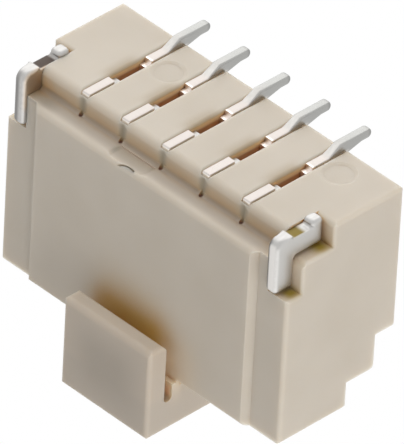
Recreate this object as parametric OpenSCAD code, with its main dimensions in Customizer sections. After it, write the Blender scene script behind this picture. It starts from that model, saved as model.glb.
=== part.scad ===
// Board socket for a wire plug: a vertical, surface-mount, shrouded header with one row of contacts.
// Z = 0 is the board, +Z points to the mating mouth, X runs along the row and the pick-up hook is on the -Y side.
// The origin is the middle of the footprint, hook and solder tails included.

/* [Row] */
// Number of contacts in the row
contacts = 5; // [3:1:12]
// Distance between neighbouring contacts
pitch = 1; // [0.8:0.05:1.5]
// Distance from the last contact to the end face of the housing
row_end = 1.5; // [1.4:0.05:2.2]

/* [Housing] */
// Depth from the front wall's face to the rear face
body_d = 2.85; // [2.75:0.05:3.6]
// Height from the base's board face to the rim of the front wall
body_h = 4.25; // [3.8:0.05:6]
// Gap between the board and the base's board face
stand_off = 0.16; // [0.1:0.01:0.22]
// Thickness of the base, from its board face to the cavity's floor
base_t = 1.4; // [1.3:0.05:1.8]
// Thickness of the front wall
front_wall = 0.95; // [0.7:0.05:1.1]
// Thickness of the rear wall
rear_wall = 0.49; // [0.35:0.02:0.6]
// Thickness of each end wall
end_wall = 0.45; // [0.3:0.05:0.6]
// How far the rear wall's rim lies below the front wall's rim
rear_drop = 1.28; // [0.9:0.02:1.6]
// How far the end walls' middle step lies below the front wall's rim
step_drop = 0.56; // [0.3:0.02:0.8]
// Length of the end walls' highest rim, from the front wall's face to the first step
rim_l = 1.71; // [1.2:0.05:2.1]
// Width of the column at each end of the front wall
column_w = 0.72; // [0.6:0.02:1]
// How far the front wall stands proud of the columns, bevelled at 45 degrees
wall_proud = 0.12; // [0.06:0.02:0.2]
// Depth of the ledge between the front wall's face and the slotted base
ledge_d = 0.46; // [0.4:0.02:0.6]
// How far the ledge lies behind the base's board face
ledge_drop = 0.45; // [0.3:0.02:0.48]

/* [Edges] */
// Rounding of the housing's outer edges
edge_r = 0.08; // [0.02:0.01:0.1]
// Rounding of the front wall's edge at the ledge and of the hook's free edge
ledge_r = 0.12; // [0.05:0.01:0.16]
// Rounding of the slotted base's front edge
base_r = 0.16; // [0.05:0.01:0.2]
// Rounding of the contact slots' edges at the base's board face
mouth_r = 0.07; // [0.02:0.01:0.1]
// Half the width of the valley in the base's front face before each contact
valley_w = 0.12; // [0.08:0.01:0.16]
// Depth of that valley
valley_d = 0.02; // [0.01:0.005:0.02]
// Radius of the notch where the valley meets the ledge
notch_r = 0.045; // [0.02:0.005:0.05]
// Rounding of the tab pockets' rims at the end faces
rim_r = 0.06; // [0.02:0.01:0.08]
// Rounding of the cavity's upright corners
cavity_r = 0.1; // [0.05:0.01:0.2]

/* [Pick-up hook] */
// Width of the hook
hook_w = 2.17; // [1.6:0.05:2.6]
// Thickness of the hook's free plate
plate_t = 0.39; // [0.35:0.02:0.5]
// Width of the slot between the plate and the tongue
hook_slot = 0.19; // [0.1:0.01:0.3]
// How far the tongue stands proud of the front wall
tongue_proud = 0.1; // [0.04:0.02:0.16]
// How far the pick-up pad stands over the rim
pad_over = 0.95; // [0.7:0.05:1.2]
// Thickness of the pad at the slot
pad_t = 0.62; // [0.4:0.02:0.68]
// How far the plate's free edge reaches below the rim
plate_under = 0.94; // [0.5:0.02:1.4]
// Rounding where the rim meets the tongue
hook_fillet = 0.15; // [0.05:0.01:0.25]

/* [Contacts] */
// Thickness of the contact sheet
contact_t = 0.18; // [0.15:0.01:0.25]
// Gap at the sides and the front end of a contact in its slot
slot_gap = 0.01; // [0.005:0.005:0.02]
// Gap above the tail and behind the bar in the slot
tail_gap = 0.04; // [0.02:0.01:0.07]
// Gap between the bar and the floor of its slot
floor_gap = 0.07; // [0.03:0.01:0.1]
// Height of a contact's bar
bar_h = 0.45; // [0.42:0.01:0.52]
// How far the bar stands out of the base's board face
bar_proud = 0; // [0:0.01:0.04]
// Distance from the base's front face in to the bar's front end
bar_recess = 0.06; // [0.05:0.01:0.1]
// Rounding of the bar's inner front corner
bar_r = 0.1; // [0.04:0.01:0.14]
// Length of the bar in front of its window
front_bar_l = 0.62; // [0.4:0.02:0.68]
// Length of the window, steps included
window_l = 0.88; // [0.6:0.02:0.94]
// Length of the step at the window's front end
front_step_l = 0.17; // [0.08:0.01:0.2]
// Length of the step at the window's rear end
rear_step_l = 0.12; // [0.06:0.01:0.2]
// Depth of the steps
step_cut = 0.1; // [0.04:0.01:0.14]
// Depth of the window
window_cut = 0.31; // [0.24:0.01:0.34]
// Distance from the rear face in to where the bar starts to bend down to the board
bend_in = 0.43; // [0.38:0.01:0.46]
// Length of the bend
bend_l = 0.28; // [0.2:0.01:0.34]
// How far the solder tail reaches past the rear face
tail_reach = 0.6; // [0.5:0.02:1]
// Height of the tail at the rear face
tail_root_h = 0.28; // [0.24:0.01:0.34]
// Height of the tail at its tip
tail_tip_h = 0.19; // [0.14:0.01:0.22]
// Length of the tail's taper behind the rear face
taper_l = 0.36; // [0.1:0.02:0.44]
// Rounding of the tail's tip
tip_r = 0.09; // [0.02:0.01:0.1]
// Width of a contact's post in the cavity
post_w = 0.4; // [0.3:0.02:0.5]
// How far the post ends below the front wall's rim
post_drop = 0.75; // [0.4:0.05:1.2]
// Length of the taper at the post's end
post_taper = 0.3; // [0.1:0.05:0.5]

/* [Solder tabs] */
// Thickness of the tab sheet
tab_t = 0.26; // [0.18:0.01:0.3]
// Distance from the end face in to the tab's outer face
tab_inset = 0.22; // [0.12:0.01:0.26]
// How far the tab's leg stands proud of the column
tab_proud = 0.085; // [0.02:0.005:0.15]
// How far the tab's rear foot stays clear of the board, for the solder
tab_lift = 0.07; // [0:0.01:0.1]
// Width of the leg
leg_w = 0.435; // [0.3:0.005:0.5]
// Distance from the board to the end of the leg
leg_z = 1.255; // [1:0.005:1.35]
// Length of the arm, leg included
arm_l = 1.1; // [0.95:0.05:1.4]
// Distance from the board to the arm's inner edge
arm_z = 0.61; // [0.5:0.01:0.7]
// Rounding of the corner between the leg and the front foot
tab_r = 0.2; // [0.1:0.01:0.26]
// Rounding of the tab's other outer corners
corner_r = 0.09; // [0.04:0.01:0.1]
// Length of the front foot
foot_l = 0.36; // [0.3:0.01:0.4]
// How far the front foot lies behind the rear foot
foot_drop = 0.07; // [0.02:0.01:0.1]
// Length of the dip between the feet
dip_l = 0.46; // [0.3:0.01:0.5]
// Depth of the dip between the feet, from the rear foot
dip_h = 0.13; // [0.11:0.01:0.2]
// Gap around the ends of the leg and the arm in the pocket
pocket_gap = 0.06; // [0.03:0.01:0.1]
// Rounding of the pocket's rear edge at the base's board face
pocket_r = 0.1; // [0.04:0.01:0.16]

/* [Mould marks] */
// Radius of the round marks
mark_r = 0.33; // [0.15:0.01:0.34]
// Depth of the round marks and of the gate's recess
mark_depth = 0.025; // [0.01:0.005:0.06]
// Width of the sloping edge of the marks and of the gate's recess
mark_edge = 0.07; // [0.02:0.01:0.1]
// Distance from the rear face in to the mark between two contacts
mark_in = 0.82; // [0.6:0.02:1]
// Distance from the rear face in to the mark at the row's end
end_mark_in = 0.59; // [0.5:0.02:1]
// Radius of the gate's recess on the ledge
gate_r = 0.47; // [0.3:0.01:0.5]
// Distance from the front wall's face to the far side of the gate's curved nick
nick_in = 0.09; // [0.06:0.01:0.12]
// Width of the nick at its middle
nick_w = 0.04; // [0.02:0.01:0.06]
// Depth of the nick
nick_depth = 0.08; // [0.05:0.01:0.1]

/* [Hidden] */
$fn = 48;

// Overlap of a cut past the face that it opens
over = 0.2;
// Smallest rounding, on stamped edges
stamp_r = 0.04;
// Rounding of inner corners of the stamped sheets and their pockets
inner_r = 0.07;
// Rounding of the tail's tip, no more than half its height
tip_round = min(tip_r, 0.48 * tail_tip_h);
// Rounding of each inner corner of the hook's slot, almost half its width
hook_slot_r = 0.45 * hook_slot;
// Rounding of the ends of the dip, no more than its lower wall
dip_r = min(inner_r, dip_h - foot_drop);

// Along the row
half_row = (contacts - 1) * pitch / 2;
half_w = half_row + row_end;
half_wall = half_w - column_w - wall_proud;
half_cavity = half_w - end_wall;

// From front to back
hook_reach = tongue_proud + hook_slot + plate_t;
front_y = (hook_reach - body_d - tail_reach) / 2;
rear_y = front_y + body_d;
tip_y = rear_y + tail_reach;
column_y = front_y + wall_proud;
base_y = front_y + ledge_d;
step_y = front_y + rim_l;
cavity_front = front_y + front_wall;
cavity_rear = rear_y - rear_wall;
hook_y = front_y - hook_reach;
plate_y = hook_y + plate_t;
tongue_y = front_y - tongue_proud;

// From the board up
base_z = stand_off;
ledge_z = base_z + ledge_drop;
floor_z = base_z + base_t;
rim_z = base_z + body_h;
step_z = rim_z - step_drop;
rear_rim_z = rim_z - rear_drop;
pad_z = rim_z + pad_over;
slot_end_z = pad_z - pad_t;
plate_z = rim_z - plate_under;

// Contact
bar_z = base_z - bar_proud;
bar_top_z = bar_z + bar_h;
bar_y = base_y + bar_recess;
window_y = bar_y + front_bar_l;
window_front = window_y + front_step_l;
window_rear = window_y + window_l - rear_step_l;
bend_y = rear_y - bend_in;
post_y = (cavity_front + cavity_rear) / 2;
post_z = rim_z - post_drop;
slot_w = contact_t + 2 * slot_gap;

// Solder tab
tab_x = half_w - tab_inset - tab_t / 2;
tab_y = column_y - tab_proud;
leg_y = tab_y + leg_w;
arm_y = tab_y + arm_l;
dip_y = tab_y + foot_l;
foot_z = tab_lift + foot_drop;
dip_z = tab_lift + dip_h;

// Mould marks
block_mark_r = min(mark_r, (pitch - slot_w) / 2 - stamp_r);
gate_x = pitch / 2;

// The corner of a square outside a quarter circle of radius r, at p and towards q: waste of an outer corner,
// or the filling of an inner one
module corner_piece(p, q, r) {
    translate(p)
        mirror([q.x < 0 ? 1 : 0, 0, 0])
            mirror([0, q.y < 0 ? 1 : 0, 0])
                difference() {
                    translate([-over / 4, -over / 4]) square(r + over / 4);
                    translate([r, r]) circle(r);
                }
}

// A profile in Y and Z, drawn out along X about the middle
module along_x(length) {
    rotate([90, 0, 90]) linear_extrude(height = length, center = true) children();
}

// A profile in X and Z, drawn out along Y between two places
module along_y(from, to) {
    translate([0, to, 0]) rotate([90, 0, 0]) linear_extrude(height = to - from) children();
}

// Side view of the body, with its ledge, its slotted base and the steps of its walls
module body_side() {
    difference() {
        polygon([
            [front_y, ledge_z],
            [base_y, ledge_z],
            [base_y, base_z],
            [rear_y, base_z],
            [rear_y, rear_rim_z],
            [cavity_rear, rear_rim_z],
            [cavity_rear, step_z],
            [step_y, step_z],
            [step_y, rim_z],
            [front_y, rim_z]
        ]);
        corner_piece([front_y, ledge_z], [1, 1], ledge_r);
        corner_piece([base_y, base_z], [1, 1], base_r);
        corner_piece([rear_y, base_z], [-1, 1], edge_r);
        corner_piece([rear_y, rear_rim_z], [-1, -1], edge_r);
        corner_piece([cavity_rear, step_z], [-1, -1], edge_r);
        corner_piece([step_y, rim_z], [-1, -1], edge_r);
        corner_piece([front_y, rim_z], [1, -1], edge_r);
    }
    corner_piece([base_y, ledge_z], [-1, -1], edge_r);
}

// Plan of the body: the front wall stands proud of the two columns
module body_plan() {
    difference() {
        polygon([
            [-half_w, column_y],
            [-half_wall - wall_proud, column_y],
            [-half_wall, front_y],
            [half_wall, front_y],
            [half_wall + wall_proud, column_y],
            [half_w, column_y],
            [half_w, rear_y],
            [-half_w, rear_y]
        ]);
        for (side = [-1, 1]) {
            corner_piece([side * half_w, column_y], [-side, 1], edge_r);
            corner_piece([side * half_w, rear_y], [-side, -1], edge_r);
        }
    }
}

// Front view of the body, with its rounded ends
module body_front() {
    difference() {
        translate([-half_w, base_z]) square([2 * half_w, body_h]);
        for (side = [-1, 1]) {
            corner_piece([side * half_w, base_z], [-side, 1], edge_r);
            corner_piece([side * half_w, rim_z], [-side, -1], edge_r);
        }
    }
}

module body() {
    intersection() {
        along_x(2 * half_w) body_side();
        linear_extrude(height = rim_z) body_plan();
        along_y(front_y, rear_y) body_front();
    }
}

// Side view of the hook: a tongue over the front wall, the pad and a free plate folded back over the wall
module hook_side() {
    difference() {
        polygon([
            [hook_y, plate_z],
            [plate_y, plate_z],
            [plate_y, slot_end_z],
            [tongue_y, slot_end_z],
            [tongue_y, rim_z],
            [front_y, rim_z],
            [front_y, rim_z - over],
            [cavity_front, rim_z - over],
            [cavity_front, pad_z],
            [hook_y, pad_z]
        ]);
        corner_piece([hook_y, plate_z], [1, 1], ledge_r);
        corner_piece([plate_y, plate_z], [-1, 1], ledge_r);
        corner_piece([hook_y, pad_z], [1, -1], edge_r);
        corner_piece([cavity_front, pad_z], [-1, -1], edge_r);
    }
    corner_piece([plate_y, slot_end_z], [1, -1], hook_slot_r);
    corner_piece([tongue_y, slot_end_z], [-1, -1], hook_slot_r);
}

// Front view of the hook, with its rounded corners
module hook_front() {
    difference() {
        translate([-hook_w / 2, plate_z]) square([hook_w, pad_z - plate_z]);
        for (side = [-1, 1]) {
            corner_piece([side * hook_w / 2, plate_z], [-side, 1], edge_r);
            corner_piece([side * hook_w / 2, pad_z], [-side, -1], edge_r);
        }
    }
}

// Plan of the hook, with the plate's upright edges rounded
module hook_plan() {
    difference() {
        translate([-hook_w / 2, hook_y]) square([hook_w, cavity_front - hook_y]);
        for (side = [-1, 1]) corner_piece([side * hook_w / 2, hook_y], [-side, 1], edge_r);
    }
}

module hook() {
    intersection() {
        along_x(hook_w) hook_side();
        along_y(hook_y, cavity_front) hook_front();
        linear_extrude(height = pad_z) hook_plan();
    }
    along_y(front_y + edge_r, cavity_front)
        for (side = [-1, 1]) corner_piece([side * hook_w / 2, rim_z], [side, 1], hook_fillet);
}

// The mating cavity, open at the rim
module cavity() {
    translate([0, 0, floor_z])
        linear_extrude(height = pad_z)
            difference() {
                translate([-half_cavity, cavity_front]) square([2 * half_cavity, cavity_rear - cavity_front]);
                for (side = [-1, 1]) {
                    corner_piece([side * half_cavity, cavity_front], [-side, 1], cavity_r);
                    corner_piece([side * half_cavity, cavity_rear], [-side, -1], cavity_r);
                }
            }
}

// The slot that takes a contact's bar and tail, with rounded edges, the valley and notch before it,
// and the hole that holds its post
module contact_slot() {
    slot_floor = bar_top_z + floor_gap;
    tail_floor = tail_root_h + tail_gap;
    slot_front = bar_y - slot_gap;
    slot_rear = bend_y + tail_gap;
    along_x(slot_w) {
        translate([slot_front, base_z - over]) square([slot_rear - slot_front, slot_floor - base_z + over]);
        translate([bend_y, base_z - over]) square([bend_in + over, tail_floor - base_z + over]);
    }
    along_y(base_y - over, slot_front)
        translate([-slot_w / 2, base_z - over]) square([slot_w, over + mouth_r]);
    along_y(base_y - over, rear_y + over)
        for (side = [-1, 1]) corner_piece([side * slot_w / 2, base_z], [side, 1], mouth_r);
    translate([0, base_y, base_z - over])
        linear_extrude(height = ledge_drop - edge_r + over)
            polygon([[-valley_w, 0], [-valley_w, -over], [valley_w, -over], [valley_w, 0], [0, valley_d]]);
    translate([0, base_y - notch_r / 2, ledge_z - edge_r]) cylinder(r = notch_r, h = edge_r + notch_r);
    translate([-contact_t / 2, post_y - post_w / 2, base_z]) cube([contact_t, post_w, floor_z - base_z + over]);
}

// The pocket for a solder tab, open to the board, the front and the end face, with its rim rounded there
module tab_pocket() {
    arm_end = arm_y + pocket_gap;
    arm_floor = arm_z + pocket_gap;
    leg_floor = leg_z + pocket_gap;
    open_y = tab_y - over;
    pocket_w = tab_inset + tab_t;
    translate([half_w - pocket_w / 2 + over / 2, 0, 0])
        along_x(pocket_w + over) {
            translate([open_y, -over]) square([leg_y - open_y, leg_floor + over]);
            translate([open_y, -over]) square([arm_end - open_y, arm_floor + over]);
            corner_piece([leg_y, arm_floor], [1, 1], 2 * inner_r);
            corner_piece([arm_end, base_z], [1, 1], pocket_r);
        }
    along_y(open_y, leg_y) corner_piece([half_w, leg_floor], [-1, 1], rim_r);
    along_y(leg_y, arm_end) corner_piece([half_w, arm_floor], [-1, 1], rim_r);
    translate([0, 0, arm_floor])
        linear_extrude(height = leg_floor - arm_floor) corner_piece([half_w, leg_y], [-1, 1], rim_r);
    translate([0, 0, -over])
        linear_extrude(height = arm_floor + over) corner_piece([half_w, arm_end], [-1, 1], rim_r);
    for (corner = [[leg_y, leg_floor], [arm_end, arm_floor]])
        translate([half_w, corner.x, corner.y])
            rotate([0, -90, 0])
                rotate_extrude()
                    intersection() {
                        corner_piece([0, 0], [1, 1], rim_r);
                        translate([0, -over]) square([rim_r, 2 * over]);
                    }
}

// A shallow round dish with a sloping edge, cut upwards from its own level
module dish(r) {
    cylinder(r1 = r, r2 = r - mark_edge, h = mark_depth);
}

// Shallow round marks that the mould leaves on the base, and the gate's recess and nick on the ledge
module mould_marks() {
    marks = [[half_row - pitch / 2, rear_y - mark_in], [-half_row - pitch / 2, rear_y - end_mark_in]];
    for (mark = marks) translate([mark.x, mark.y, base_z]) dish(block_mark_r);
    intersection() {
        translate([gate_x, front_y + ledge_d / 2, ledge_z]) dish(gate_r);
        translate([gate_x - gate_r, front_y - over, ledge_z - over])
            cube([2 * gate_r, ledge_d - edge_r + over, 2 * over]);
    }
    intersection() {
        translate([gate_x - gate_r / 4, front_y + nick_in - gate_r, ledge_z - over])
            difference() {
                cylinder(r = gate_r, h = over + nick_depth);
                translate([0, -nick_w, -over]) cylinder(r = gate_r, h = 3 * over + nick_depth);
            }
        translate([gate_x - gate_r / 2, front_y - over, ledge_z - over]) cube([gate_r, 2 * over, 2 * over]);
    }
}

module housing() {
    color([0.80, 0.76, 0.70])
        difference() {
            union() {
                body();
                hook();
            }
            cavity();
            for (i = [1:contacts]) translate([(i - 1) * pitch - half_row, 0, 0]) contact_slot();
            tab_pocket();
            mirror([1, 0, 0]) tab_pocket();
            mould_marks();
        }
}

// Side view of a contact: bar with its window, bend, solder tail and post
module contact_side() {
    difference() {
        polygon([
            [bar_y, bar_z],
            [bend_y, bar_z],
            [bend_y + bend_l, 0],
            [tip_y, 0],
            [tip_y, tail_tip_h],
            [rear_y + taper_l, tail_tip_h],
            [rear_y, tail_root_h],
            [bend_y, tail_root_h],
            [bend_y, bar_top_z],
            [post_y + post_w / 2, bar_top_z],
            [post_y + post_w / 2, post_z - post_taper],
            [post_y + post_w / 4, post_z],
            [post_y - post_w / 4, post_z],
            [post_y - post_w / 2, post_z - post_taper],
            [post_y - post_w / 2, bar_top_z],
            [bar_y, bar_top_z]
        ]);
        corner_piece([tip_y, 0], [-1, 1], tip_round);
        corner_piece([tip_y, tail_tip_h], [-1, -1], tip_round);
        corner_piece([bar_y, bar_z], [1, 1], stamp_r);
        corner_piece([bar_y, bar_top_z], [1, -1], bar_r);
        translate([window_y, bar_z - over]) square([window_l, step_cut + over]);
        difference() {
            translate([window_front, bar_z - over]) square([window_rear - window_front, window_cut + over]);
            corner_piece([window_front, bar_z + window_cut], [1, -1], inner_r);
            corner_piece([window_rear, bar_z + window_cut], [-1, -1], inner_r);
        }
    }
}

module contact(i) {
    color([0.82, 0.81, 0.78])
        translate([(i - 1) * pitch - half_row, 0, 0])
            along_x(contact_t) contact_side();
}

// Side view of a solder tab: a leg, an arm along the board and two feet with a dip between them
module tab_side() {
    difference() {
        union() {
            translate([tab_y, tab_lift]) square([leg_w, leg_z - tab_lift]);
            translate([tab_y, tab_lift]) square([arm_l, arm_z - tab_lift]);
            corner_piece([leg_y, arm_z], [1, 1], inner_r);
        }
        translate([tab_y - over, tab_lift - over]) square([foot_l + over, foot_drop + over]);
        corner_piece([tab_y, foot_z], [1, 1], tab_r);
        corner_piece([tab_y, leg_z], [1, -1], corner_r);
        corner_piece([leg_y, leg_z], [-1, -1], corner_r);
        corner_piece([arm_y, tab_lift], [-1, 1], corner_r);
        corner_piece([arm_y, arm_z], [-1, -1], corner_r);
        corner_piece([dip_y + dip_l, tab_lift], [1, 1], corner_r);
        difference() {
            translate([dip_y, tab_lift - over]) square([dip_l, dip_h + over]);
            corner_piece([dip_y, dip_z], [1, -1], dip_r);
            corner_piece([dip_y + dip_l, dip_z], [-1, -1], dip_r);
        }
    }
}

module solder_tab(side) {
    color([0.82, 0.81, 0.78])
        translate([side * tab_x, 0, 0])
            along_x(tab_t) tab_side();
}

housing();
for (i = [1:contacts]) contact(i);
solder_tab(-1);  // solder_tab_left
solder_tab(1);  // solder_tab_right
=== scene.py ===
import math

import bmesh
import bpy
from mathutils import Matrix, Vector


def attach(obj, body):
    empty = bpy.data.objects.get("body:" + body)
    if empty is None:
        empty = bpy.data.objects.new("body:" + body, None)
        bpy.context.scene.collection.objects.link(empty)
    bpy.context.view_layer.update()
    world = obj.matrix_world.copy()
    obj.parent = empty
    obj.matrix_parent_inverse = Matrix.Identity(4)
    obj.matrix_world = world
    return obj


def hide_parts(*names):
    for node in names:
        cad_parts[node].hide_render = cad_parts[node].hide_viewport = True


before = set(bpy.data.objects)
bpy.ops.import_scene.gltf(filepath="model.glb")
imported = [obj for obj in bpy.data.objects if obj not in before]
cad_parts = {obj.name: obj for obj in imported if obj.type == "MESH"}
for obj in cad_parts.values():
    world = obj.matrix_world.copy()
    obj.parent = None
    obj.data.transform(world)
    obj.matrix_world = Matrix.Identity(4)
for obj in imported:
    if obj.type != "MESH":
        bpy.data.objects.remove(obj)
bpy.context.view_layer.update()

# Units: sizes are written in millimetres and made in metres
MM = 0.001

# Photograph: size in pixels, and the camera that the housing's corners give
PHOTO_W, PHOTO_H = 404, 444
VIEW_AZIMUTH, VIEW_ELEVATION, VIEW_ROLL = -44.24, -37.47, 3.18
VIEW_DISTANCE = 227.5
PIXELS_PER_MM = 57.75
VIEW_POINT = Vector((0.0, -0.085, 2.41))
VIEW_POINT_PIXEL = (192.5, 231.9)
SENSOR_MM = 36.0
CLIP_NEAR_M, CLIP_FAR_M = 0.01, 2.0

# Stamped pieces, the contacts' places along the row, and the two ends of the housing
CONTACTS = sorted(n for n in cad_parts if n.startswith("contact_"))
TABS = ["solder_tab_left", "solder_tab_right"]
CONTACT_XS = (-2, -1, 0, 1, 2)
SIDES = (-1, 1)

# Rounding of the stamped sheets' edges, in millimetres
CONTACT_EDGE_R = 0.018
TAIL_EDGE_R = 0.05
TAIL_START_Y, TAIL_FREE_Y = 1.0, 1.3
TAB_EDGE_R = 0.085
DIP_EDGE_R = 0.03
DIP_FRONT_Y, DIP_REAR_Y, DIP_FADE, DIP_DEEP_Z = -1.0, -0.59, 0.06, 0.3
EDGE_STEPS = 4
SHARPEST_MITRE = 0.3
SMOOTH_UP_TO_DEGREES = 40

# Reading of a stamped node's mesh: points that are one, points on a face and faces square to X
SAME_POINT_M, ON_FACE_M, SQUARE_TO_X = 1e-7, 1e-6, 0.99

# Beige plastic: colours, grain and cloud sizes, gloss, and how far light goes into it
PLASTIC_DARK, PLASTIC_LIGHT = (0.605, 0.539, 0.45), (0.645, 0.579, 0.49)
PLASTIC_GRAIN, PLASTIC_CLOUD = 0.045, 1.6
PLASTIC_ROUGHNESS = (0.44, 0.58)
PLASTIC_BUMP_DEPTH, PLASTIC_BUMP_STRENGTH = 0.004, 0.25
PLASTIC_SPECULAR = 0.3
PLASTIC_GLOW_DEPTH = 0.25
PLASTIC_GLOW_SPREAD = (1.0, 0.95, 0.88)

# Tinned sheet: grain and cloud sizes, the stretch of its streaks along the strip, and its colours
TIN_GRAIN, TIN_CLOUD = 0.06, 0.8
TIN_STRETCH = (1.0, 0.25, 1.0)
TIN_BUMP_DEPTH, TIN_BUMP_STRENGTH = 0.003, 0.2
CONTACT_DARK, CONTACT_LIGHT = (0.40, 0.387, 0.368), (0.47, 0.456, 0.436)
CONTACT_ROUGHNESS = (0.26, 0.38)
TAB_DARK, TAB_LIGHT = (0.47, 0.46, 0.445), (0.53, 0.52, 0.505)
TAB_ROUGHNESS = (0.36, 0.46)

# Noise: how rough it is, and the span in which most of its values lie
NOISE_ROUGHNESS = 0.55
NOISE_LOW, NOISE_HIGH = 0.3, 0.7

# A Mix node's sockets for colours, by number: two go in and one comes out
MIX_FIRST, MIX_SECOND, MIX_RESULT = 6, 7, 2

# Painted shade in the plastic: its samples, how far walls are felt, and its tints from closed-in
# to open
OPENNESS_SAMPLES = 8
SHADE_REACH = 0.45
SHADE_STOPS = [
    (0.0, (0.24, 0.085, 0.035)),
    (0.12, (0.66, 0.33, 0.13)),
    (0.35, (0.97, 0.74, 0.47)),
    (0.6, (1.0, 0.95, 0.86)),
    (0.85, (1.0, 1.0, 1.0)),
]

# Places, here and below: centre, half size, soft edge and colour, each over the ones before it

# Places on the plastic where shade and light are painted over its body colour
PLASTIC_PAINTED_SHADE_AND_LIGHT = [
    # Painted shade on the pick-up hook's fold, its outer plate and the plate's darker middle
    ((0, -1.3, 5.0), (1.3, 1.2, 0.55), (0.1, 0.1, 0.1), (0.52, 0.455, 0.38)),
    ((0, -2.1, 4.0), (1.3, 0.45, 0.6), (0.1, 0.1, 0.1), (0.545, 0.472, 0.39)),
    ((0, -2.2, 4.4), (0.65, 0.4, 0.55), (0.42, 0.1, 0.42), (0.445, 0.387, 0.32)),
    # Painted shade on the base's front slope, the ledge before it, the ledge's shaded end and the
    # slope's foot
    ((0, -0.95, 0.46), (3.0, 0.1, 0.16), (0.1, 0.1, 0.16), (0.62, 0.485, 0.335)),
    ((0, -1.0, 0.62), (3.0, 0.25, 0.05), (0.1, 0.13, 0.03), (0.495, 0.44, 0.38)),
    ((2.85, -1.0, 0.6), (0.4, 0.27, 0.07), (0.25, 0.12, 0.04), (0.385, 0.34, 0.285)),
    ((0, -0.96, 0.57), (3.0, 0.07, 0.03), (0.1, 0.05, 0.06), (0.44, 0.35, 0.265)),
    # Painted warm glow on the tongue in the hook's slot
    ((0, -1.5, 4.45), (1.04, 0.05, 0.22), (0.03, 0.03, 0.06), (0.92, 0.72, 0.55)),
    # Painted shade on the gate's recess on the ledge: its floor, its two ends and its rear edge
    ((0.52, -1.13, 0.62), (0.36, 0.12, 0.06), (0.16, 0.12, 0.04), (0.465, 0.41, 0.34)),
    ((0.93, -1.12, 0.62), (0.03, 0.1, 0.04), (0.07, 0.12, 0.03), (0.34, 0.31, 0.25)),
    ((0.1, -1.05, 0.62), (0.03, 0.06, 0.04), (0.07, 0.08, 0.03), (0.39, 0.35, 0.285)),
    ((0.5, -1.005, 0.625), (0.45, 0.02, 0.03), (0.05, 0.015, 0.015), (0.52, 0.455, 0.38)),
]
for x in CONTACT_XS:
    PLASTIC_PAINTED_SHADE_AND_LIGHT += [
        # Painted shade on the slot's lip beside a contact's window, painted light on the wall
        # under it and painted red shade in that wall's depth
        ((x + 0.14, 0.12, 0.2), (0.08, 0.35, 0.3), (0.16, 0.2, 0.2), (0.46, 0.375, 0.265)),
        ((x + 0.1, 0.15, 0.27), (0.03, 0.45, 0.05), (0.02, 0.1, 0.03), (0.9, 0.8, 0.62)),
        ((x + 0.1, 0.15, 0.43), (0.04, 0.45, 0.11), (0.03, 0.1, 0.04), (0.68, 0.38, 0.22)),
        # Painted shade in the valley before the contact
        ((x, -0.91, 0.42), (0.06, 0.06, 0.2), (0.05, 0.05, 0.1), (0.50, 0.42, 0.31)),
    ]
for side in SIDES:
    PLASTIC_PAINTED_SHADE_AND_LIGHT += [
        # Painted shade on the floors of a tab's pocket, at the end of the leg and of the arm
        ((side * 3.32, -1.02, 1.31), (0.12, 0.12, 0.06), (0.1, 0.09, 0.1), (0.38, 0.28, 0.0)),
        ((side * 3.28, -0.34, 0.67), (0.14, 0.15, 0.06), (0.1, 0.14, 0.1), (0.36, 0.265, 0.0)),
    ]

# Places where the plastic's shade is held back: the colour is the darkest tint that shows there
LIGHT_SHADE_PLACES = [
    # The slots beside the contacts' front and rear bars, which fill them
    ((0, -0.6, 0.2), (2.6, 0.4, 0.25), (0.2, 0.1, 0.1), (0.93, 0.87, 0.8)),
    ((0, 1.1, 0.2), (2.6, 0.42, 0.25), (0.2, 0.1, 0.1), (0.93, 0.87, 0.8)),
    # The gate's nick
    ((0.5, -1.28, 0.68), (0.5, 0.14, 0.1), (0.1, 0.05, 0.08), (0.5, 0.46, 0.42)),
    # The slots beside the windows
    ((0, 0.15, 0.3), (2.6, 0.45, 0.16), (0.2, 0.1, 0.06), (0.95, 0.8, 0.62)),
    # The rear edge of the gate's recess, and the notches before the contacts
    ((0.5, -1.0, 0.62), (0.5, 0.04, 0.06), (0.1, 0.03, 0.04), (0.9, 0.88, 0.84)),
    ((0, -0.95, 0.6), (2.6, 0.06, 0.08), (0.2, 0.03, 0.04), (0.46, 0.46, 0.46)),
]
for side in SIDES:
    LIGHT_SHADE_PLACES += [
        # The end of the hook's slot, and a tab's pocket
        ((side * 1.05, -1.5, 4.45), (0.2, 0.15, 0.35), (0.1, 0.05, 0.1), (1.0, 0.9, 0.76)),
        ((side * 3.3, -0.85, 0.8), (0.26, 0.65, 0.6), (0.05, 0.1, 0.1), (1.0, 0.92, 0.82)),
    ]

# Painted shade in hollows: a place, how far walls are felt, and how open it is where the paint
# starts and is full
HOOK_HOLLOW_SHADOW = ((0.1, -1.4, 3.7), (1.0, 0.25, 1.0), (0.5, 0.1, 0.5), (0.61, 0.385, 0.115))
HOOK_HOLLOW_REACH, HOOK_HOLLOW_START, HOOK_HOLLOW_FULL = 1.4, 0.92, 0.35
NICK_HOLLOW_SHADE = ((0.38, -1.33, 0.68), (0.3, 0.08, 0.08), (0.05, 0.02, 0.03), (0.36, 0.32, 0.26))
NICK_HOLLOW_REACH, NICK_HOLLOW_START, NICK_HOLLOW_FULL = 0.08, 0.85, 0.5

# Painted warm light on the front wall beside the hook, first broad and then close to it
BESIDE_HOOK_PAINTED_GLOW = [
    ((-1.1, -1.4, 4.05), (0.3, 0.12, 0.5), (0.4, 0.08, 0.5), (0.70, 0.59, 0.455)),
    ((-0.85, -1.4, 4.15), (0.12, 0.12, 0.3), (0.25, 0.08, 0.25), (0.86, 0.70, 0.49)),
]
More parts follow.
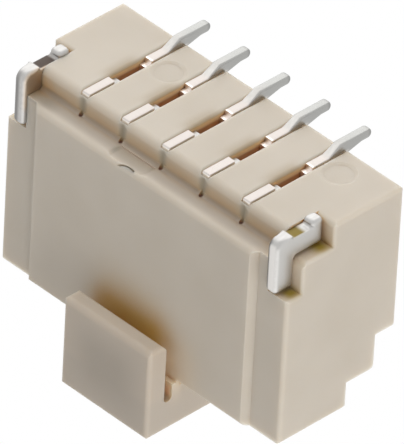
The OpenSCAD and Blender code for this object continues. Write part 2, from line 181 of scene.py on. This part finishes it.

# Places on the contacts: their own tone, and painted light on faces in the slots
CONTACT_TONE_AND_PAINTED_LIGHT = [
    # The duller free tail and its darker tip
    ((0, 1.75, 0.1), (3, 0.4, 1), (1, 0.3, 1), (0.395, 0.395, 0.38)),
    ((0, 2.05, 0.1), (3, 0.04, 1), (1, 0.07, 1), (0.22, 0.217, 0.21)),
    # The bars' edges towards the board, warmer; painted light on the front bar's end and the step
    # behind the window
    ((0, 0.05, 0.16), (3, 1.0, 0.04), (1, 0.1, 0.04), (0.485, 0.447, 0.418)),
    ((0, -0.87, 0.26), (3, 0.03, 0.08), (1, 0.02, 0.02), (0.9, 0.85, 0.8)),
    ((0, 0.58, 0.33), (3, 0.09, 0.18), (1, 0.03, 0.03), (0.92, 0.86, 0.82)),
]
for x in CONTACT_XS:
    # Painted light on the bars' side in the slot
    CONTACT_TONE_AND_PAINTED_LIGHT.append(
        ((x - 0.1, 0.25, 0.26), (0.015, 1.2, 0.08), (0.01, 0.1, 0.02), (0.95, 0.9, 0.84)))

# Painted light and shade on the hold-down tabs
TAB_PAINTED_LIGHT_AND_SHADE = [
    # Painted shade in the dips between the feet
    ((-3.15, -0.82, 0.16), (0.3, 0.14, 0.08), (0.1, 0.06, 0.05), (0.165, 0.12, 0.024)),
    ((3.15, -0.76, 0.16), (0.3, 0.2, 0.08), (0.1, 0.06, 0.05), (0.055, 0.04, 0.032)),
    # Painted shade on halves of the legs' front edges
    ((-3.05, -1.33, 0.8), (0.06, 0.06, 0.6), (0.05, 0.05, 0.2), (0.07, 0.068, 0.066)),
    ((3.23, -1.33, 0.8), (0.08, 0.06, 0.6), (0.04, 0.05, 0.2), (0.23, 0.225, 0.22)),
    # Painted reflection on the inner face of the right tab and the outer face of the left tab
    ((3.02, -1.05, 0.5), (0.03, 0.3, 0.4), (0.03, 0.1, 0.1), (0.56, 0.46, 0.36)),
    ((-3.28, -0.8, 0.7), (0.02, 0.6, 0.7), (0.02, 0.1, 0.1), (0.575, 0.565, 0.545)),
    # Painted highlights on the left tab's edges: the front and the rear of its leg, and its arm
    ((-3.155, -1.35, 0.75), (0.07, 0.03, 0.6), (0.03, 0.02, 0.15), (0.70, 0.68, 0.655)),
    ((-3.25, -0.93, 0.95), (0.06, 0.05, 0.4), (0.04, 0.05, 0.1), (0.85, 0.83, 0.8)),
    ((-3.25, -0.55, 0.6), (0.06, 0.35, 0.05), (0.04, 0.08, 0.04), (0.85, 0.83, 0.8)),
]

# Studio: the floor, the level of the even light, and the lamps around the object's middle
FLOOR_HALF_M = 1.0
FLOOR_COLOUR = (0.9, 0.9, 0.89, 1)
WHITE = (1, 1, 1, 1)
WORLD_LEVEL = 0.4
LAMP_AIM = Vector((0, 0, 2.5))
LAMP_DISTANCE = 200
# Lamps: name, direction from the object, light level, length of a side, and seen in reflections
LAMPS = [
    ("board_side_panel", (0.5, 0.5, -0.71), 0.45, 355, True),
    ("board_side_light", (0.0, -0.25, -0.97), 0.29, 133, False),
    ("end_light", (-0.95, -0.2, 0.2), 0.40, 133, False),
    ("front_light", (-0.55, -0.53, 0.61), 0.16, 230, True),
    ("rear_light", (0.6, 0.5, 0.65), 0.5, 133, False),
]


# Meshes

def sheet_outline(node):
    """The outline of a flat stamped node in Y and Z, in order, with its two X faces."""
    work = bmesh.new()
    work.from_mesh(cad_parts[node].data)
    bmesh.ops.remove_doubles(work, verts=work.verts, dist=SAME_POINT_M)
    x_high = max(v.co.x for v in work.verts)
    x_low = min(v.co.x for v in work.verts)
    face_set = {f for f in work.faces if f.normal.x > SQUARE_TO_X
                and f.calc_center_median().x > x_high - ON_FACE_M}
    rim = [e for e in work.edges if sum(f in face_set for f in e.link_faces) == 1]
    neighbours = {}
    for e in rim:
        a, b = e.verts
        neighbours.setdefault(a, []).append(b)
        neighbours.setdefault(b, []).append(a)
    start = rim[0].verts[0]
    loop, last, here = [start], None, start
    while True:
        ahead = [v for v in neighbours[here] if v is not last][0]
        if ahead is start:
            break
        loop.append(ahead)
        last, here = here, ahead
    points = [Vector((v.co.y, v.co.z)) for v in loop]
    work.free()
    area = sum(p.x * q.y - q.x * p.y for p, q in zip(points, points[1:] + points[:1]))
    if area < 0:
        points.reverse()
    return points, x_low, x_high


def inset_outline(points, distances):
    """The outline moved inwards by a distance at each corner, along its mitre."""
    count = len(points)
    moved = []
    for i, (p, distance) in enumerate(zip(points, distances)):
        before = (p - points[i - 1]).normalized()
        after = (points[(i + 1) % count] - p).normalized()
        n1, n2 = Vector((-before.y, before.x)), Vector((-after.y, after.x))
        moved.append(p + (n1 + n2) * distance / max(SHARPEST_MITRE, 1 + n1.dot(n2)))
    return moved


def contact_rounding(y, _z):
    """The edge rounding of a contact: small in the slot, larger on the free tail."""
    share = (y - TAIL_START_Y) / (TAIL_FREE_Y - TAIL_START_Y)
    return CONTACT_EDGE_R + (TAIL_EDGE_R - CONTACT_EDGE_R) * min(1.0, max(0.0, share))


def tab_rounding(y, z):
    """The edge rounding of a hold-down tab: broad, but sharper round the dip between its feet."""
    if z > DIP_DEEP_Z:
        return TAB_EDGE_R
    share = max(0.0, DIP_FRONT_Y - y, y - DIP_REAR_Y) / DIP_FADE
    return DIP_EDGE_R + (TAB_EDGE_R - DIP_EDGE_R) * min(1.0, share)


def rounded_sheet(name, node, rounding):
    """A stamped sheet with the node's outline, its edges rounded by a radius for each place."""
    points, x_low, x_high = sheet_outline(node)
    radii = [rounding(p.x / MM, p.y / MM) * MM for p in points]
    turns = [math.pi / 2 * step / EDGE_STEPS for step in range(EDGE_STEPS + 1)]
    rings = [(turn, x_low, 1) for turn in reversed(turns)]
    rings += [(turn, x_high, -1) for turn in turns]
    made = bmesh.new()
    rows = []
    for turn, x_face, inwards in rings:
        ring = inset_outline(points, [r * (1 - math.cos(turn)) for r in radii])
        rows.append([made.verts.new((x_face + inwards * r * (1 - math.sin(turn)), p.x, p.y))
                     for p, r in zip(ring, radii)])
    count = len(points)
    for low, high in zip(rows, rows[1:]):
        for i in range(count):
            j = (i + 1) % count
            made.faces.new((low[i], low[j], high[j], high[i]))
    made.faces.new(list(reversed(rows[0])))
    made.faces.new(rows[-1])
    bmesh.ops.recalc_face_normals(made, faces=made.faces)
    bmesh.ops.triangulate(made, faces=[f for f in made.faces if len(f.verts) > 4])
    mesh = bpy.data.meshes.new(name)
    made.to_mesh(mesh)
    made.free()
    piece = bpy.data.objects.new(name, mesh)
    bpy.context.scene.collection.objects.link(piece)
    mesh.shade_smooth()
    mesh.set_sharp_from_angle(angle=math.radians(SMOOTH_UP_TO_DEGREES))
    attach(piece, "root")
    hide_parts(node)
    return piece


# Nodes

def empty_tree(owner):
    """The node tree of a material or world, with nothing in it."""
    owner.use_nodes = True
    owner.node_tree.nodes.clear()
    return owner.node_tree


def add(tree, kind, **values):
    """A node with its properties, and its inputs by name or number."""
    node = tree.nodes.new(kind)
    inputs = values.pop("inputs", {})
    for key, value in values.items():
        setattr(node, key, value)
    for key, value in inputs.items():
        node.inputs[key].default_value = value
    return node


def feed(tree, value, socket):
    """A socket fed by another socket, by a colour or by a number."""
    if isinstance(value, bpy.types.NodeSocket):
        tree.links.new(value, socket)
    elif isinstance(value, tuple):
        socket.default_value = (*value, 1)
    else:
        socket.default_value = value


def spread(tree, value, low, high, from_low=NOISE_LOW, from_high=NOISE_HIGH):
    """A value spread from its own span to another."""
    node = add(tree, "ShaderNodeMapRange", inputs={"From Min": from_low, "From Max": from_high,
                                                   "To Min": low, "To Max": high})
    tree.links.new(value, node.inputs["Value"])
    return node.outputs["Result"]


def product(tree, a, b):
    """Two values multiplied."""
    node = add(tree, "ShaderNodeMath", operation="MULTIPLY")
    tree.links.new(a, node.inputs[0])
    tree.links.new(b, node.inputs[1])
    return node.outputs[0]


def mix_colours(tree, share, a, b, blend="MIX"):
    """Two colours mixed by a share."""
    node = add(tree, "ShaderNodeMix", data_type="RGBA", blend_type=blend)
    for key, value in (("Factor", share), (MIX_FIRST, a), (MIX_SECOND, b)):
        feed(tree, value, node.inputs[key])
    return node.outputs[MIX_RESULT]


def bump(tree, shader, height, depth, strength):
    """A fine relief on a shader, from a height that changes over the surface."""
    node = add(tree, "ShaderNodeBump", inputs={"Strength": strength, "Distance": depth * MM})
    tree.links.new(height, node.inputs["Height"])
    tree.links.new(node.outputs["Normal"], shader.inputs["Normal"])


def place_in_mm(group):
    """The place on the object, in millimetres."""
    place = add(group, "ShaderNodeTexCoord")
    in_mm = add(group, "ShaderNodeVectorMath", operation="SCALE", inputs={"Scale": 1 / MM})
    group.links.new(place.outputs["Object"], in_mm.inputs[0])
    return in_mm.outputs[0]


def grain_group():
    """Fine grain, broad clouds and rolled streaks on the surface, from places in millimetres."""
    group = bpy.data.node_groups.new("surface_grain", "ShaderNodeTree")
    for name, kind, value in (("Grain Size", "NodeSocketFloat", 0.05),
                              ("Cloud Size", "NodeSocketFloat", 1.5),
                              ("Stretch", "NodeSocketVector", (1, 1, 1))):
        socket = group.interface.new_socket(name, in_out="INPUT", socket_type=kind)
        socket.default_value = value
    for name in ("Grain", "Cloud", "Streak"):
        group.interface.new_socket(name, in_out="OUTPUT", socket_type="NodeSocketFloat")
    given = group.nodes.new("NodeGroupInput")
    result = group.nodes.new("NodeGroupOutput")
    place = place_in_mm(group)
    stretched = add(group, "ShaderNodeVectorMath", operation="MULTIPLY")
    group.links.new(place, stretched.inputs[0])
    group.links.new(given.outputs["Stretch"], stretched.inputs[1])
    for name, size, where, detail in (("Grain", "Grain Size", place, 3.0),
                                      ("Cloud", "Cloud Size", place, 2.0),
                                      ("Streak", "Grain Size", stretched.outputs[0], 2.0)):
        one_over = add(group, "ShaderNodeMath", operation="DIVIDE", inputs={0: 1.0})
        group.links.new(given.outputs[size], one_over.inputs[1])
        noise = add(group, "ShaderNodeTexNoise",
                    inputs={"Detail": detail, "Roughness": NOISE_ROUGHNESS})
        group.links.new(where, noise.inputs["Vector"])
        group.links.new(one_over.outputs[0], noise.inputs["Scale"])
        group.links.new(noise.outputs["Fac"], result.inputs[name])
    return group


def soft_box_group():
    """A mask that is one in a box, in millimetres, and fades over the box's soft edge."""
    group = bpy.data.node_groups.new("soft_box", "ShaderNodeTree")
    for name, value in (("Centre", (0, 0, 0)), ("Half Size", (1, 1, 1)),
                        ("Soft Edge", (0.1, 0.1, 0.1))):
        socket = group.interface.new_socket(name, in_out="INPUT", socket_type="NodeSocketVector")
        socket.default_value = value
    group.interface.new_socket("Mask", in_out="OUTPUT", socket_type="NodeSocketFloat")
    given = group.nodes.new("NodeGroupInput")
    result = group.nodes.new("NodeGroupOutput")
    last = place_in_mm(group)
    for operation, other in (("SUBTRACT", "Centre"), ("ABSOLUTE", None),
                             ("SUBTRACT", "Half Size"), ("DIVIDE", "Soft Edge")):
        step = add(group, "ShaderNodeVectorMath", operation=operation)
        group.links.new(last, step.inputs[0])
        if other:
            group.links.new(given.outputs[other], step.inputs[1])
        last = step.outputs[0]
    parts = add(group, "ShaderNodeSeparateXYZ")
    group.links.new(last, parts.inputs[0])
    fades = []
    for axis in "XYZ":
        fade = add(group, "ShaderNodeMapRange", interpolation_type="SMOOTHSTEP",
                   inputs={"From Min": -1.0, "From Max": 1.0, "To Min": 1.0, "To Max": 0.0})
        group.links.new(parts.outputs[axis], fade.inputs["Value"])
        fades.append(fade.outputs["Result"])
    mask = product(group, product(group, fades[0], fades[1]), fades[2])
    group.links.new(mask, result.inputs["Mask"])
    return group


GRAIN = grain_group()
SOFT_BOX = soft_box_group()


def place_grain(tree, grain_size, cloud_size, stretch=(1, 1, 1)):
    """The surface grain at a material's own sizes."""
    return add(tree, "ShaderNodeGroup", node_tree=GRAIN,
               inputs={"Grain Size": grain_size, "Cloud Size": cloud_size, "Stretch": stretch})


def soft_box(tree, centre, half_size, soft_edge):
    """The mask of one place."""
    node = add(tree, "ShaderNodeGroup", node_tree=SOFT_BOX,
               inputs={"Centre": centre, "Half Size": half_size, "Soft Edge": soft_edge})
    return node.outputs["Mask"]


def openness(tree, reach):
    """How open a place is to its surroundings, felt as far as a reach in millimetres."""
    sky = add(tree, "ShaderNodeAmbientOcclusion", samples=OPENNESS_SAMPLES,
              inputs={"Distance": reach * MM})
    return sky.outputs["AO"]


def warm_shade(tree, reach):
    """A painted shade for places that are closed in: cream, then amber, dark red-brown at the
    bottom.
    """
    ramp = tree.nodes.new("ShaderNodeValToRGB")
    stops = ramp.color_ramp.elements
    while len(stops) < len(SHADE_STOPS):
        stops.new(0.5)
    for stop, (position, colour) in zip(stops, SHADE_STOPS):
        stop.position = position
        stop.color = (*colour, 1)
    tree.links.new(openness(tree, reach), ramp.inputs["Fac"])
    return ramp.outputs["Color"]


def paint_places(tree, colour, places, blend="MIX"):
    """A colour with other paints in its places, each over the ones before it."""
    for centre, half_size, soft_edge, paint in places:
        mask = soft_box(tree, centre, half_size, soft_edge)
        colour = mix_colours(tree, mask, colour, paint, blend)
    return colour


def paint_hollow_shade(tree, colour, hollow, reach, start, full):
    """A colour with a painted shade in one place, the more so the more its walls close it in."""
    centre, half_size, soft_edge, paint = hollow
    depth = spread(tree, openness(tree, reach), 1, 0, full, start)
    share = product(tree, depth, soft_box(tree, centre, half_size, soft_edge))
    return mix_colours(tree, share, colour, paint)


# Materials

def new_material(name):
    """A material with its tree and the shader at its end."""
    material = bpy.data.materials.new(name)
    tree = empty_tree(material)
    out = add(tree, "ShaderNodeOutputMaterial")
    shader = add(tree, "ShaderNodeBsdfPrincipled")
    tree.links.new(shader.outputs["BSDF"], out.inputs["Surface"])
    return material, tree, shader


def moulded_plastic():
    """Natural beige moulding: satin and slightly translucent, with painted warm shade where it is
    closed in and painted shade and light in places.
    """
    material, tree, shader = new_material("moulded_beige_plastic")
    grain = place_grain(tree, PLASTIC_GRAIN, PLASTIC_CLOUD)
    clouds = spread(tree, grain.outputs["Cloud"], 0, 1)
    colour = mix_colours(tree, clouds, PLASTIC_DARK, PLASTIC_LIGHT)
    # Painted shade and light in places on the plastic
    colour = paint_places(tree, colour, PLASTIC_PAINTED_SHADE_AND_LIGHT)
    # Painted warm shade where the plastic is closed in, held back in the listed places
    shade = paint_places(tree, warm_shade(tree, SHADE_REACH), LIGHT_SHADE_PLACES, "LIGHTEN")
    colour = mix_colours(tree, 1.0, colour, shade, "MULTIPLY")
    # Painted amber shadow behind the hook's plate
    colour = paint_hollow_shade(tree, colour, HOOK_HOLLOW_SHADOW,
                          HOOK_HOLLOW_REACH, HOOK_HOLLOW_START, HOOK_HOLLOW_FULL)
    # Painted warm light on the wall beside the hook
    colour = paint_places(tree, colour, BESIDE_HOOK_PAINTED_GLOW)
    # Painted dark shade in the gate's nick
    colour = paint_hollow_shade(tree, colour, NICK_HOLLOW_SHADE,
                          NICK_HOLLOW_REACH, NICK_HOLLOW_START, NICK_HOLLOW_FULL)
    tree.links.new(colour, shader.inputs["Base Color"])
    roughness = spread(tree, grain.outputs["Grain"], *PLASTIC_ROUGHNESS)
    tree.links.new(roughness, shader.inputs["Roughness"])
    bump(tree, shader, grain.outputs["Grain"], PLASTIC_BUMP_DEPTH, PLASTIC_BUMP_STRENGTH)
    shader.inputs["Specular IOR Level"].default_value = PLASTIC_SPECULAR
    shader.inputs["Subsurface Weight"].default_value = 1.0
    shader.inputs["Subsurface Radius"].default_value = PLASTIC_GLOW_SPREAD
    shader.inputs["Subsurface Scale"].default_value = PLASTIC_GLOW_DEPTH * MM
    return material


def tinned_sheet(name, dark, light, roughness_span, places):
    """Tin-plated sheet with faint streaks along the strip, and other colours in its places, among
    them painted light and shade.
    """
    material, tree, shader = new_material(name)
    grain = place_grain(tree, TIN_GRAIN, TIN_CLOUD, TIN_STRETCH)
    streaks = spread(tree, grain.outputs["Streak"], 0, 1)
    colour = paint_places(tree, mix_colours(tree, streaks, dark, light), places)
    tree.links.new(colour, shader.inputs["Base Color"])
    roughness = spread(tree, grain.outputs["Cloud"], *roughness_span)
    tree.links.new(roughness, shader.inputs["Roughness"])
    bump(tree, shader, grain.outputs["Streak"], TIN_BUMP_DEPTH, TIN_BUMP_STRENGTH)
    shader.inputs["Metallic"].default_value = 1.0
    return material


def dress(piece, material):
    """A piece with one material all over."""
    piece.data.materials.clear()
    piece.data.materials.append(material)


# Pieces

PLASTIC = moulded_plastic()
CONTACT_TIN = tinned_sheet("tinned_contact_sheet", CONTACT_DARK, CONTACT_LIGHT,
                           CONTACT_ROUGHNESS, CONTACT_TONE_AND_PAINTED_LIGHT)
TAB_TIN = tinned_sheet("tinned_tab_sheet", TAB_DARK, TAB_LIGHT, TAB_ROUGHNESS, TAB_PAINTED_LIGHT_AND_SHADE)

dress(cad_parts["housing"], PLASTIC)
for node in CONTACTS:
    blade = rounded_sheet(node.replace("contact", "contact_blade"), node, contact_rounding)
    dress(blade, CONTACT_TIN)
for node in TABS:
    tab = rounded_sheet(node.replace("solder_tab", "hold_down_tab"), node, tab_rounding)
    dress(tab, TAB_TIN)


# Floor, light and camera

def make_floor():
    """A pale floor in the board's plane, seen from above only: the board side shows from below."""
    mesh = bpy.data.meshes.new("floor")
    half = FLOOR_HALF_M
    corners = [(-half, -half, 0), (half, -half, 0), (half, half, 0), (-half, half, 0)]
    mesh.from_pydata(corners, [], [(0, 1, 2, 3)])
    floor = bpy.data.objects.new("floor", mesh)
    bpy.context.scene.collection.objects.link(floor)
    floor.visible_diffuse = floor.visible_glossy = floor.visible_transmission = False
    floor.visible_shadow = floor.visible_volume_scatter = False
    material = bpy.data.materials.new("pale_floor")
    tree = empty_tree(material)
    out = add(tree, "ShaderNodeOutputMaterial")
    paint = add(tree, "ShaderNodeBsdfDiffuse", inputs={"Color": FLOOR_COLOUR})
    clear = add(tree, "ShaderNodeBsdfTransparent")
    side = add(tree, "ShaderNodeNewGeometry")
    either = add(tree, "ShaderNodeMixShader")
    tree.links.new(side.outputs["Backfacing"], either.inputs["Fac"])
    tree.links.new(paint.outputs["BSDF"], either.inputs[1])
    tree.links.new(clear.outputs["BSDF"], either.inputs[2])
    tree.links.new(either.outputs["Shader"], out.inputs["Surface"])
    mesh.materials.append(material)


def make_world():
    """White behind the object and in reflections, and a soft even light of its own level."""
    world = bpy.data.worlds.new("studio")
    bpy.context.scene.world = world
    tree = empty_tree(world)
    out = add(tree, "ShaderNodeOutputWorld")
    lit = add(tree, "ShaderNodeBackground", inputs={"Color": WHITE, "Strength": WORLD_LEVEL})
    seen = add(tree, "ShaderNodeBackground", inputs={"Color": WHITE, "Strength": 1.0})
    path = add(tree, "ShaderNodeLightPath")
    either = add(tree, "ShaderNodeMath", operation="MAXIMUM")
    any_of = add(tree, "ShaderNodeMath", operation="MAXIMUM")
    mix = add(tree, "ShaderNodeMixShader")
    tree.links.new(path.outputs["Is Camera Ray"], either.inputs[0])
    tree.links.new(path.outputs["Is Glossy Ray"], either.inputs[1])
    tree.links.new(either.outputs[0], any_of.inputs[0])
    tree.links.new(path.outputs["Is Transmission Ray"], any_of.inputs[1])
    tree.links.new(any_of.outputs[0], mix.inputs["Fac"])
    tree.links.new(lit.outputs["Background"], mix.inputs[1])
    tree.links.new(seen.outputs["Background"], mix.inputs[2])
    tree.links.new(mix.outputs["Shader"], out.inputs["Surface"])


def make_lamp(name, towards, level, side, seen):
    """A square lamp in a direction, with the light level that it gives a face square to it."""
    lamp = bpy.data.lights.new(name, "AREA")
    lamp.shape = "SQUARE"
    lamp.size = side * MM
    # The light falls off as from a disc of the same area
    falloff = 1 + math.pi * LAMP_DISTANCE ** 2 / side ** 2
    lamp.energy = level * math.pi * lamp.size ** 2 * falloff
    holder = bpy.data.objects.new(name, lamp)
    holder.visible_glossy = seen
    bpy.context.scene.collection.objects.link(holder)
    way = Vector(towards).normalized()
    holder.location = (LAMP_AIM + way * LAMP_DISTANCE) * MM
    holder.rotation_mode = "QUATERNION"
    holder.rotation_quaternion = way.to_track_quat("Z", "Y")


def make_camera():
    """The camera of the photograph, turned so that the board side is up."""
    a, e, roll = (math.radians(x) for x in (VIEW_AZIMUTH, VIEW_ELEVATION, VIEW_ROLL))
    back = Vector((math.sin(a) * math.cos(e), -math.cos(a) * math.cos(e), math.sin(e)))
    level = Vector((0, 0, -1)).cross(back).normalized()
    rise = back.cross(level)
    right = level * math.cos(roll) + rise * math.sin(roll)
    up = rise * math.cos(roll) - level * math.sin(roll)
    off_x = (PHOTO_W / 2 - VIEW_POINT_PIXEL[0]) / PIXELS_PER_MM
    off_y = (VIEW_POINT_PIXEL[1] - PHOTO_H / 2) / PIXELS_PER_MM
    aim = VIEW_POINT + right * off_x + up * off_y
    data = bpy.data.cameras.new("camera")
    data.sensor_width = SENSOR_MM
    data.lens = VIEW_DISTANCE * PIXELS_PER_MM * SENSOR_MM / max(PHOTO_W, PHOTO_H)
    data.clip_start, data.clip_end = CLIP_NEAR_M, CLIP_FAR_M
    camera = bpy.data.objects.new("camera", data)
    bpy.context.scene.collection.objects.link(camera)
    place = Matrix((right, up, back)).transposed().to_4x4()
    place.translation = (aim + back * VIEW_DISTANCE) * MM
    camera.matrix_world = place
    bpy.context.scene.camera = camera


make_floor()
make_world()
for lamp_values in LAMPS:
    make_lamp(*lamp_values)
make_camera()

bpy.context.scene.view_settings.view_transform = "Standard"
